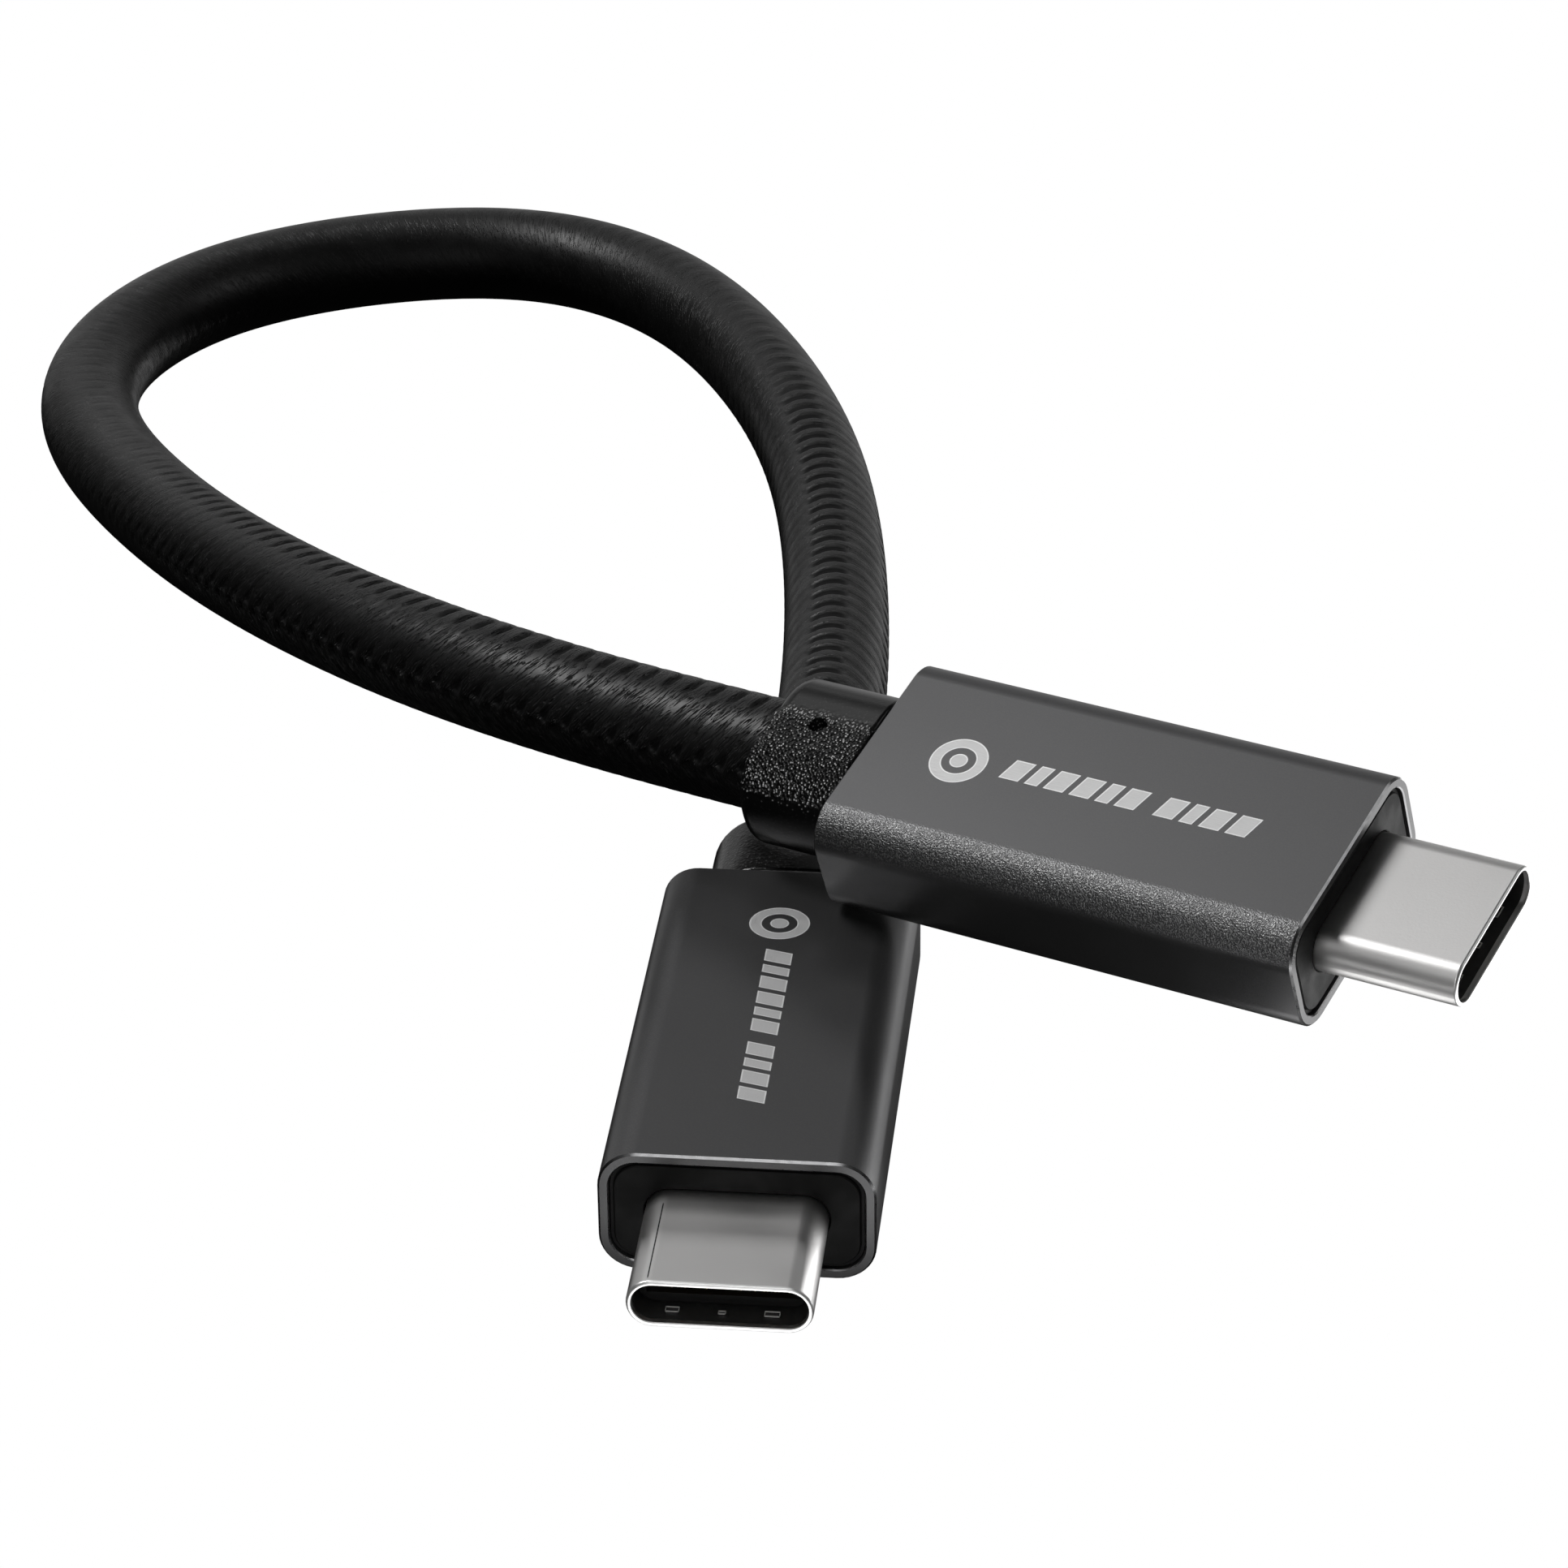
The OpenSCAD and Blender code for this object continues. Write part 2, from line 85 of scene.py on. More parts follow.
# The loop from plug A round to plug B: X, Y and height off the table
route = [
    (-0.0149, 0.0226, 0.0075),
    (-0.0234, 0.0301, 0.006),
    (-0.0325, 0.0406, 0.004),
    (-0.0403, 0.053, 0.0015),
    (-0.0472, 0.0659, 0),
    (-0.0477, 0.0764, 0),
    (-0.0424, 0.0863, 0),
    (-0.032, 0.0916, 0),
    (-0.0222, 0.0924, 0),
    (-0.0136, 0.0864, 0),
    (-0.0072, 0.0748, 0),
    (-0.0031, 0.0624, 0),
    (-0.001, 0.0484, 0),
    (-0.0001, 0.036, 0),
]


def inside(plug, depth):
    return plug @ Vector((-depth, 0, 0))


def spline(controls, steps):
    """A smooth curve led, not held, by its control points."""
    t = np.linspace(0, 1, steps, endpoint=False)[:, None]
    weights = ((1 - t) ** 3, 3 * t**3 - 6 * t**2 + 4, -3 * t**3 + 3 * t**2 + 3 * t + 1, t**3)
    p = np.array(controls, float)
    spans = [sum(w * p[i + k] for k, w in enumerate(weights)) / 6 for i in range(len(p) - 3)]
    last = (p[-3] + 4 * p[-2] + p[-1]) / 6
    return np.vstack(spans + [last])


def evenly(points, step):
    """The same line with its points one step apart, and how far along each one is."""
    runs = np.concatenate([[0], np.cumsum(np.linalg.norm(np.diff(points, axis=0), axis=1))])
    along = np.linspace(0, runs[-1], round(runs[-1] / step) + 1)
    return np.column_stack([np.interp(along, runs, points[:, k]) for k in range(3)]), along


controls = [inside(plug_a, collar_rear + k * lead) for k in (-1, 0, 1)]
controls += [Vector((x, y, z + cord_d / 2)) for x, y, z in route]
controls += [inside(plug_b, collar_rear + k * lead) for k in (1, 0, -1)]
middle_line = np.vstack(
    [
        [inside(plug_a, collar_rear - socket_l)],
        spline(controls, 60),
        [inside(plug_b, collar_rear - socket_l)],
    ]
)

rib_pitch = 1.28 * MM
rib_relief = 0.16 * MM


def step_up(value, low, high):
    t = np.clip((value - low) / (high - low), 0, 1)
    return t * t * (3 - 2 * t)


def lean(t):
    """How far along the cord a rib has moved across its column. It turns square to the
    cord where it runs on into the next column, at t = 1."""
    return 1.5 * MM * (t + 1 - ((t + 1) / 2) ** 4 / 2)


def rib(run, t, pair):
    """One pair of columns: ribs with deep gaps at t = 1 and rounded ends near t = -1."""
    phase = (run + lean(t)) / rib_pitch + 0.5 * pair
    side = np.abs(phase - np.round(phase))
    swell = 0.07 + 0.5 * step_up(-t, 0.3, 0.95)
    late = step_up(run / MM, 60, 140)
    gap_depth = 0.85 * step_up(t + 0.12 * late, 0.54, 0.84) + 0.08
    gap_width = 0.13 + 0.1 * late
    groove = gap_depth * step_up(side, 0.42 - gap_width, 0.55 - gap_width)
    body = 1 - swell * (2 * side) ** 4 - groove
    reach = 0.98 + 0.26 * np.cos(2 * math.pi * side)
    covered = 1 - step_up(-t, reach - 0.14, reach + 0.06)
    return body * covered


def weave(run, angle):
    """Height of the woven surface, from 0 to 1, and the lean of the ribs there."""
    first_border = math.radians(5) + math.radians(0.02) * (run / MM - 28)
    turn = (angle - first_border) / (math.pi / 2)
    turn = (turn + 2) % 4 - 2
    column = np.floor(turn)
    across = 2 * (turn - column) - 1
    t = np.where(column % 2 == 0, across, -across)
    pair = np.floor(column / 2)
    return np.clip(np.maximum(rib(run, t, pair), rib(run, -2 - t, pair + 1)), 0, 1), lean(t)


def woven_tube(name, line, step, sides):
    centres, run = evenly(line, step)
    ahead = np.gradient(centres, axis=0)
    ahead /= np.linalg.norm(ahead, axis=1)[:, None]
    side = np.cross([0, 0, 1], ahead)
    side /= np.linalg.norm(side, axis=1)[:, None]
    up = np.cross(ahead, side)
    angle = np.linspace(0, 2 * math.pi, sides, endpoint=False)
    height, slant = weave(run[:, None], angle[None, :])
    # Round the far bend the yarns are drawn flat
    drawn = 1 - 0.9 * step_up(run / MM, 36, 62) * (1 - step_up(run / MM, 132, 152))
    height = 0.93 + drawn[:, None] * (height - 0.93)
    radius = cord_d / 2 + rib_relief * (height - 0.8)
    ring = side[:, None] * np.cos(angle)[:, None] + up[:, None] * np.sin(angle)[:, None]
    verts = (centres[:, None] + ring * radius[..., None]).reshape(-1, 3)
    rows, count = len(centres), sides
    i, k = np.meshgrid(np.arange(rows - 1), np.arange(count), indexing="ij")
    k_next = (k + 1) % count
    corners = (i * count + k, (i + 1) * count + k, (i + 1) * count + k_next, i * count + k_next)
    faces = np.stack(corners, axis=-1).reshape(-1, 4)
    mesh = bpy.data.meshes.new(name)
    mesh.vertices.add(len(verts))
    mesh.vertices.foreach_set("co", verts.ravel())
    mesh.loops.add(faces.size)
    mesh.loops.foreach_set("vertex_index", faces[:, ::-1].ravel())
    mesh.polygons.add(len(faces))
    mesh.polygons.foreach_set("loop_start", np.arange(0, faces.size, 4))
    # Where each point lies along and round the cord, for the fine wrinkles
    lay = mesh.uv_layers.new(name="lay")
    laid = run[:, None] + slant
    laid_corners = [laid[i, k], laid[i + 1, k], laid[i + 1, k_next], laid[i, k_next]]
    along = np.stack(laid_corners, axis=-1)[..., ::-1]
    around = np.stack([k, k, k + 1, k + 1], axis=-1)[..., ::-1] * (math.pi * cord_d / count)
    lay.data.foreach_set("uv", np.stack([along, around], axis=-1).astype(np.float32).ravel())
    # How high each point stands on the weave, which paints shade into the crevices
    crevice = mesh.attributes.new("crevice", "FLOAT", "POINT")
    crevice.data.foreach_set("value", np.clip(height, 0, 1).astype(np.float32).ravel())
    place = mesh.attributes.new("run", "FLOAT", "POINT")
    place.data.foreach_set("value", np.repeat(run, count).astype(np.float32))
    mesh.update()
    mesh.shade_smooth()
    mesh.validate()
    return mesh


def new_finish(name, colour=(0.5, 0.5, 0.5), roughness=0.5, metallic=0.0):
    """An empty finish with its main shader, ready for its texture nodes."""
    material = bpy.data.materials.new(name)
    material.use_nodes = True
    material.diffuse_color = (*colour, 1)
    shader = material.node_tree.nodes["Principled BSDF"]
    shader.inputs["Base Color"].default_value = (*colour, 1)
    shader.inputs["Roughness"].default_value = roughness
    shader.inputs["Metallic"].default_value = metallic
    return material


def add(material, kind, wires=None, **settings):
    """One node of a finish. Wires give its sockets a value or another node's output."""
    node = material.node_tree.nodes.new("ShaderNode" + kind)
    for key, value in settings.items():
        setattr(node, key, value)
    for socket, value in (wires or {}).items():
        if isinstance(value, bpy.types.NodeSocket):
            material.node_tree.links.new(value, node.inputs[socket])
        else:
            node.inputs[socket].default_value = value
    return node.outputs[0]


def feed(material, **wires):
    shader = material.node_tree.nodes["Principled BSDF"]
    for socket, value in wires.items():
        material.node_tree.links.new(value, shader.inputs[socket.replace("_", " ")])


def scaled(material, coordinates, x, y, z):
    return add(material, "Mapping", {"Vector": coordinates, "Scale": (x, y, z)})


def own_place(material):
    """Where a point lies in its piece's own frame, in metres."""
    return add(material, "TexCoord").node.outputs["Object"]


def ranged(material, value, low, high, to_low, to_high):
    wires = {0: value, 1: low, 2: high, 3: to_low, 4: to_high}
    return add(material, "MapRange", wires, interpolation_type="SMOOTHSTEP")


def times(material, a, b):
    return add(material, "Math", {0: a, 1: b}, operation="MULTIPLY")


def yarn_finish():
    finish = new_finish("woven yarn", (0.005, 0.005, 0.005), 0.45)
    lay = add(finish, "UVMap", uv_map="lay")
    run = add(finish, "Attribute", attribute_name="run").node.outputs["Fac"]
    height = add(finish, "Attribute", attribute_name="crevice").node.outputs["Fac"]
    hair_place = scaled(finish, lay, 8500, 1300, 1)
    hair = {"Vector": hair_place, "Scale": 1.0, "Detail": 3.0, "Distortion": 0.8}
    hairs = ranged(finish, add(finish, "TexNoise", hair), 0.36, 0.5, 0.0, 1.0)
    fibres = add(finish, "TexNoise", {"Vector": scaled(finish, lay, 14000, 3000, 1), "Scale": 1.0})
    patches = add(finish, "TexNoise", {"Vector": scaled(finish, lay, 500, 700, 1), "Scale": 1.0})
    # The yarns are fuzzed next to plug A and smoother further round
    fuzz = ranged(finish, run, 0.016, 0.058, 1.0, 0.1)
    raised = times(finish, hairs, fuzz)
    fuzzed = add(finish, "Bump", {"Height": raised, "Strength": 1.0, "Distance": 0.14 * MM})
    fine = {"Height": fibres, "Strength": 0.25, "Distance": 0.02 * MM, "Normal": fuzzed}
    shine = ranged(finish, patches, 0.3, 0.7, 0.38, 0.46)
    dull = ranged(finish, height, 0.1, 0.8, 0.5, 0.0)
    rough = add(finish, "Math", {0: shine, 1: dull}, operation="ADD")
    # The colour is painted darker in the crevices between the ribs: painted shade
    shade = add(finish, "ValToRGB", {"Fac": height})
    ramp = shade.node.color_ramp
    ramp.elements[0].color = (0.0005, 0.0005, 0.0005, 1)
    ramp.elements[1].color = (0.005, 0.005, 0.005, 1)
    feed(finish, Normal=add(finish, "Bump", fine), Roughness=rough, Base_Color=shade)
    return finish


def stand(name, mesh, finish, place=None, body="cable"):
    """A new piece of the object in its place, riding on its body."""
    piece = bpy.data.objects.new(name, mesh)
    bpy.context.scene.collection.objects.link(piece)
    piece.data.materials.append(finish)
    if place is not None:
        piece.matrix_world = place
    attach(piece, body)
    return piece


cord = stand("woven_cord", woven_tube("woven_cord", middle_line, 0.1 * MM, 96), yarn_finish())
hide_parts("woven_sleeve")


# Metal housings: short lengths of flat aluminium tube, bead-blasted and anodised dark grey.
# Each end is faced off afterwards, which leaves a bright chamfer round the rim.
housing_r = 1.8 * MM
housing_wall = 0.5 * MM
chamfer = 0.1 * MM
broken = 0.06 * MM


def outline(width, height, radius, arc_steps=10):
    """A rounded rectangle across the plug, as points with Y and Z."""
    points = []
    for corner in range(4):
        mid_y = (width / 2 - radius) * (1 if corner in (0, 3) else -1)
        mid_z = (height / 2 - radius) * (1 if corner in (0, 1) else -1)
        for k in range(arc_steps + 1):
            a = math.pi / 2 * (corner + k / arc_steps)
            points.append((mid_y + radius * math.cos(a), mid_z + radius * math.sin(a)))
    return points


def loft(name, rings, closed=True, cap=False):
    """A skin through rounded rectangles, each given as its X, width, height and radius."""
    verts = [(x, y, z) for x, w, h, r in rings for y, z in outline(w, h, r)]
    count = len(outline(1, 1, 0.1))
    rows = len(rings)
    faces = []
    for i in range(rows if closed else rows - 1):
        a, b = i * count, (i + 1) % rows * count
        for k in range(count):
            n = (k + 1) % count
            faces.append((a + k, b + k, b + n, a + n))
    if cap:
        faces.append(tuple(range(count)))
        faces.append(tuple(reversed(range((rows - 1) * count, rows * count))))
    mesh = bpy.data.meshes.new(name)
    mesh.from_pydata(verts, [], faces)
    crisp(mesh)
    return mesh


def crisp(mesh, angle=28):
    mesh.update()
    mesh.shade_smooth()
    mesh.set_sharp_from_angle(angle=math.radians(angle))


def even_normals(piece):
    """Keeps the flats flat where they run into a rounded corner."""
    weighted = piece.modifiers.new("even normals", "WEIGHTED_NORMAL")
    weighted.keep_sharp = True


def anodised_finish(name, grain_and_glint_depth):
    finish = new_finish(name, (0.13, 0.13, 0.132), 0.4, 0.85)
    object_place = own_place(finish)
    blast = add(finish, "TexNoise", {"Vector": object_place, "Scale": 12000.0, "Detail": 1.0})
    cloud = add(finish, "TexNoise", {"Vector": object_place, "Scale": 260.0, "Detail": 2.0})
    # The grain shows along one top edge, where the blasting hit the rounding square on; its specks
    # are also painted lighter there, as painted glints
    split = add(finish, "SeparateXYZ", {"Vector": object_place}).node.outputs
    struck_and_glinting = times(
        finish,
        ranged(finish, split["Z"], 1.6 * MM, 2.2 * MM, 0.0, 1.0),
        ranged(finish, split["Y"], -4.9 * MM, -4.3 * MM, 1.0, 0.0),
    )
    depth = add(finish, "Math", {0: struck_and_glinting, 1: grain_and_glint_depth, 2: 0.04}, operation="MULTIPLY_ADD")
    grain = add(finish, "Bump", {"Height": blast, "Strength": depth, "Distance": 0.05 * MM})
    # Lighter specks painted into the colour on that edge: a painted highlight
    painted_glints = times(finish, ranged(finish, blast, 0.5, 0.58, 0.0, 1.0), depth)
    shade = add(finish, "MixRGB", {0: painted_glints, 1: (0.13, 0.13, 0.132, 1), 2: (0.27, 0.27, 0.27, 1)})
    rough = ranged(finish, cloud, 0.3, 0.7, 0.36, 0.4)
    feed(finish, Normal=grain, Roughness=rough, Base_Color=shade)
    return finish


def faced_finish():
    finish = new_finish("faced rim", (0.34, 0.34, 0.345), 0.28, 1.0)
    object_place = own_place(finish)
    marks = add(finish, "TexNoise", {"Vector": object_place, "Scale": 3000.0, "Detail": 3.0})
    feed(finish, Roughness=ranged(finish, marks, 0.3, 0.7, 0.26, 0.34))
    return finish


def housing_rings():
    w, h, r = housing_w, housing_h, housing_r
    inner = (w - 2 * housing_wall, h - 2 * housing_wall, r - housing_wall)
    faced = (w - 2 * chamfer, h - 2 * chamfer, r - chamfer)
    return [
        (-housing_l, *inner),
        (-housing_l, *faced),
        (-housing_l + chamfer, w, h, r),
        (-chamfer, w, h, r),
        (0, *faced),
        (0, inner[0] + 2 * broken, inner[1] + 2 * broken, inner[2] + broken),
        (-broken, *inner),
    ]


faced_rim = faced_finish()
for end, plug, grain_and_glint_depth in (("a", plug_a, 0.9), ("b", plug_b, 0.05)):
    name = "housing_" + end
    anodised = anodised_finish("anodised grey " + end, grain_and_glint_depth)
    housing = stand(name, loft(name, housing_rings()), anodised, plug)
    housing.data.materials.append(faced_rim)
    per_ring = len(housing.data.polygons) // len(housing_rings())
    for face in housing.data.polygons:
        if face.index // per_ring in (1, 3, 5):
            face.material_index = 1
    even_normals(housing)
    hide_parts("housing_sleeve_" + end)


# Housing marks: a plain ring and a row of slanted bars, cut by laser through the dark
# skin on top of each housing, so that the bare metal shows with a brighter burnt edge.
mark_z = housing_h / 2 + 0.006 * MM
ring_x, ring_y = -20.25, -0.1
bar_slant = 0.28
bar_gap = 0.32
edge_w = 0.07


def etched_finish(name, colour):
    finish = new_finish(name, colour, 0.5, 0.5)
    object_place = own_place(finish)
    hatched = scaled(finish, object_place, 1500, 14000, 1)
    hatching = add(finish, "TexNoise", {"Vector": hatched, "Scale": 1.0})
    pits = add(finish, "Bump", {"Height": hatching, "Strength": 0.5, "Distance": 0.01 * MM})
    feed(finish, Normal=pits, Roughness=ranged(finish, hatching, 0.3, 0.7, 0.42, 0.6))
    return finish


def shrunk(shape, by):
    """A closed outline moved inwards all round."""
    moved = []
    for k, point in enumerate(shape):
        before = (point - shape[k - 1]).normalized()
        after = (shape[(k + 1) % len(shape)] - point).normalized()
        inwards = Vector((-before.y - after.y, before.x + after.x))
        moved.append(point + inwards * by / (1 + before.dot(after)))
    return moved


def mark_mesh(name):
    """Flat faces of the fill, then those of the edges with the second finish."""
    verts, fill, edges = [], [], []

    def strip(outer, inner, faces):
        start, n = len(verts), len(outer)
        verts.extend((q.x * MM, q.y * MM, mark_z) for q in outer + inner)
        for k in range(n):
            m = (k + 1) % n
            faces.append((start + k, start + m, start + n + m, start + n + k))

    def circle(radius):
        turns = [2 * math.pi * k / 64 for k in range(64)]
        return [Vector((ring_x + radius * math.cos(a), ring_y + radius * math.sin(a))) for a in turns]

    def patch(shape):
        start = len(verts)
        verts.extend((q.x * MM, q.y * MM, mark_z) for q in shape)
        fill.append(tuple(range(start, start + len(shape))))

    for outer_r, inner_r, faces in ((1.45, 1.38, edges), (1.38, 0.92, fill), (0.92, 0.85, edges)):
        strip(circle(outer_r), circle(inner_r), faces)
    strip(circle(0.45), circle(0.38), edges)
    patch(circle(0.38))

    low_y, high_y = -0.5, 0.8
    x = -17.9
    for width in (1.05, 0.7, 1.05, 1.05, 0.7, 1.05, None, 1.05, 0.7, 1.05, 1.05):
        if width is None:
            x += 0.65
            continue
        corners = ((x, low_y), (x + width, low_y), (x + width, high_y), (x, high_y))
        bar = [Vector((px + bar_slant * (py - low_y), py)) for px, py in corners]
        strip(bar, shrunk(bar, edge_w), edges)
        patch(shrunk(bar, edge_w))
        x += width + bar_gap
    mesh = bpy.data.meshes.new(name)
    mesh.from_pydata(verts, [], fill + edges)
    for k, polygon in enumerate(mesh.polygons):
        polygon.material_index = int(k >= len(fill))
    return mesh


etched = etched_finish("etched metal", (0.72, 0.72, 0.72))
burnt_edge = etched_finish("burnt edge", (0.95, 0.95, 0.95))
for end, plug in (("a", plug_a), ("b", plug_b)):
    mark = stand("mark_" + end, mark_mesh("mark_" + end), etched, plug)
    mark.data.materials.append(burnt_edge)


# Moulded cores: black nylon cast round the can and the shell, pushed in from the rear.
# Only the face shows, a step back from the rim all round, with the shell through it.
shell_w, shell_h, shell_r = 8.25 * MM, 2.4 * MM, 1.19 * MM
gap = 0.05 * MM


def nylon_finish():
    finish = new_finish("moulded nylon", (0.004, 0.004, 0.004), 0.46)
    finish.node_tree.nodes["Principled BSDF"].inputs["IOR"].default_value = 1.32
    object_place = own_place(finish)
    cloud = add(finish, "TexNoise", {"Vector": object_place, "Scale": 700.0, "Detail": 4.0})
    stipple = add(finish, "TexNoise", {"Vector": object_place, "Scale": 8000.0, "Detail": 1.0})
    grain = add(finish, "Bump", {"Height": stipple, "Strength": 0.25, "Distance": 0.01 * MM})
    feed(finish, Normal=grain, Roughness=ranged(finish, cloud, 0.3, 0.7, 0.5, 0.64))
    return finish


nylon = nylon_finish()
core_w = housing_w - 2 * housing_wall - 2 * gap
core_h = housing_h - 2 * housing_wall - 2 * gap
core_r = housing_r - housing_wall - gap
core_rear = -22.2 * MM
cord_bore = 4.7 * MM
cavity_front, cavity_rear = -1.1 * MM, -14.1 * MM
cavity_w, cavity_h, cavity_r = 9.4 * MM, 4 * MM, 0.1 * MM
step = 0.15 * MM
face = -0.1 * MM
edge = 0.06 * MM
core_rings = [
    (core_rear, core_w, core_h, core_r),
    (face - step, core_w, core_h, core_r),
    (face - step, core_w - 2 * step, core_h - 2 * step, core_r - step / 2),
    (face - edge, core_w - 2 * step, core_h - 2 * step, core_r - step / 2),
    (face, core_w - 2 * step - 2 * edge, core_h - 2 * step - 2 * edge, core_r - step / 2 - edge),
    (face, shell_w + 4 * gap, shell_h + 4 * gap, shell_r + 2 * gap),
    (face - gap, shell_w + 2 * gap, shell_h + 2 * gap, shell_r + gap),
    (cavity_front, shell_w + 2 * gap, shell_h + 2 * gap, shell_r + gap),
    (cavity_front, cavity_w, cavity_h, cavity_r),
    (cavity_rear, cavity_w, cavity_h, cavity_r),
    (cavity_rear, cord_bore, cord_bore, cord_bore / 2),
    (core_rear, cord_bore, cord_bore, cord_bore / 2),
]
for end, plug in (("a", plug_a), ("b", plug_b)):
    core = stand("core_" + end, loft("core_" + end, core_rings), nylon, plug)
    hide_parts("core_mould_" + end)


# Plug shells: stainless steel, deep-drawn and rolled in at the mouth, with a satin
# finish brushed across. The butt seam of the blank shows on top of plug B's shell.
shell_wall = 0.25 * MM
shell_root = 2 * MM
shell_reach = 7 * MM
lip = 0.14 * MM
seam_y = -3.16 * MM


def shell_rings():
    w, h, r = shell_w, shell_h, shell_r
    rings = [(-shell_root, w - 2 * shell_wall, h - 2 * shell_wall, r - shell_wall)]
    rings.append((-shell_root, w, h, r))
    for k in range(7):
        a = math.pi / 2 * k / 6
        inset = lip * (1 - math.cos(a))
        x = shell_reach - lip + lip * math.sin(a)
        rings.append((x, w - 2 * inset, h - 2 * inset, r - inset))
    for depth, inset in ((0.01, 0.2), (0.06, 0.23), (0.26, 0.235), (0.3, 0.25)):
        by = inset * MM
        rings.append((shell_reach - depth * MM, w - 2 * by, h - 2 * by, r - by))
    return rings


def steel_finish(name, tone, rough, seam):
    metal = (tone, 0.99 * tone, 0.98 * tone)
    finish = new_finish(name, metal, 0.3, 1.0)
    object_place = own_place(finish)
    lines = {"Vector": scaled(finish, object_place, 14000, 900, 900), "Scale": 1.0, "Detail": 3.0}
    brushed = add(finish, "TexNoise", lines)
    speckle = add(finish, "TexNoise", {"Vector": object_place, "Scale": 9000.0, "Detail": 2.0})
    cloud = add(finish, "TexNoise", {"Vector": object_place, "Scale": 250.0, "Detail": 2.0})
    scratch = add(finish, "Bump", {"Height": brushed, "Strength": 0.3, "Distance": 0.006 * MM})
    relief = {"Height": speckle, "Strength": 0.3, "Distance": 0.008 * MM, "Normal": scratch}
    dulled = ranged(finish, cloud, 0.3, 0.7, rough, rough + 0.05)
    feed(finish, Roughness=dulled, Normal=add(finish, "Bump", relief))
    if seam:
        split = add(finish, "SeparateXYZ", {"Vector": object_place}).node.outputs
        aside = add(finish, "Math", {0: split["Y"], 1: seam_y}, operation="SUBTRACT")
        distance = add(finish, "Math", {0: aside}, operation="ABSOLUTE")
        line = ranged(finish, distance, 0.015 * MM, 0.045 * MM, 1.0, 0.0)
        on_top = ranged(finish, split["Z"], 0.0, 0.1 * MM, 0.0, 1.0)
        started = ranged(finish, split["X"], 0.8 * MM, 1.0 * MM, 0.0, 1.0)
        ended = ranged(finish, split["X"], 6.55 * MM, 6.75 * MM, 1.0, 0.0)
        dark = times(finish, times(finish, line, on_top), times(finish, started, ended))
        mixed = add(finish, "MixRGB", {0: dark, 1: (*metal, 1), 2: (0.03, 0.03, 0.03, 1)})
        feed(finish, Base_Color=mixed)
    return finish


def patchy_finish(name, colour, metallic, size, smooth, rough):
    """Steel whose polish wanders in patches of one size."""
    finish = new_finish(name, colour, smooth, metallic)
    patches = add(finish, "TexNoise", {"Vector": own_place(finish), "Scale": 1 / size})
    feed(finish, Roughness=ranged(finish, patches, 0.3, 0.7, smooth, rough))
    return finish


rolled_lip = patchy_finish("polished lip", (0.92, 0.92, 0.91), 0.85, 0.2 * MM, 0.34, 0.44)
# The shell's inner walls are painted dark: painted shade inside the mouth, on the same steel
painted_shade_inside = patchy_finish("inside painted dark for shade", (0.1, 0.1, 0.1), 0.9, 0.4 * MM, 0.45, 0.6)
# Plug A's shell has a darker tone than plug B's: painted shade on the same steel
for end, plug, tone, rough in (("a", plug_a, 0.68, 0.38), ("b", plug_b, 0.88, 0.32)):
    steel = steel_finish("satin steel " + end, tone, rough, end == "b")
    shell = stand("shell_" + end, loft("shell_" + end, shell_rings()), steel, plug)
    shell.data.materials.append(rolled_lip)
    shell.data.materials.append(painted_shade_inside)
    per_ring = len(shell.data.polygons) // len(shell_rings())
    for polygon in shell.data.polygons:
        ring = polygon.index // per_ring
        if 2 <= ring <= 9:
            polygon.material_index = 1
        elif ring > 11:
            polygon.material_index = 2
    even_normals(shell)
    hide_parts("plug_shell_" + end)


# Strain reliefs: black rubber collars moulded round the cord behind each housing, with a
# fine leather grain and the blind hole of a mould pin on top.
collar_w, collar_h, collar_r = 8.8 * MM, 6.2 * MM, 2.9 * MM


def collar_rings():
    front, rear = -housing_l - 0.04 * MM, -housing_l - collar_l
    throat_d = cord_d - 1 * MM
    rings = [(core_rear, throat_d, throat_d, throat_d / 2)]
    rings.append((core_rear, core_w, core_h, core_r))
    rings.append((front, core_w, core_h, core_r))
    edge_r = 0.25 * MM
    for k in range(5):
        a = math.pi / 2 * k / 4
        inset = edge_r * (1 - math.sin(a))
        x = front - edge_r * (1 - math.cos(a))
        rings.append((x, collar_w - 2 * inset, collar_h - 2 * inset, collar_r - inset))
    edge_r = 0.8 * MM
    for k in range(9):
        a = math.pi / 2 * k / 8
        inset = edge_r * (1 - math.cos(a))
        x = rear + edge_r * (1 - math.sin(a))
        rings.append((x, collar_w - 2 * inset, collar_h - 2 * inset, collar_r - inset))
    rings.append((rear, cord_d, cord_d, cord_d / 2))
    rings.append((rear + socket_l, cord_d, cord_d, cord_d / 2))
    rings.append((rear + socket_l, throat_d, throat_d, throat_d / 2))
    return rings


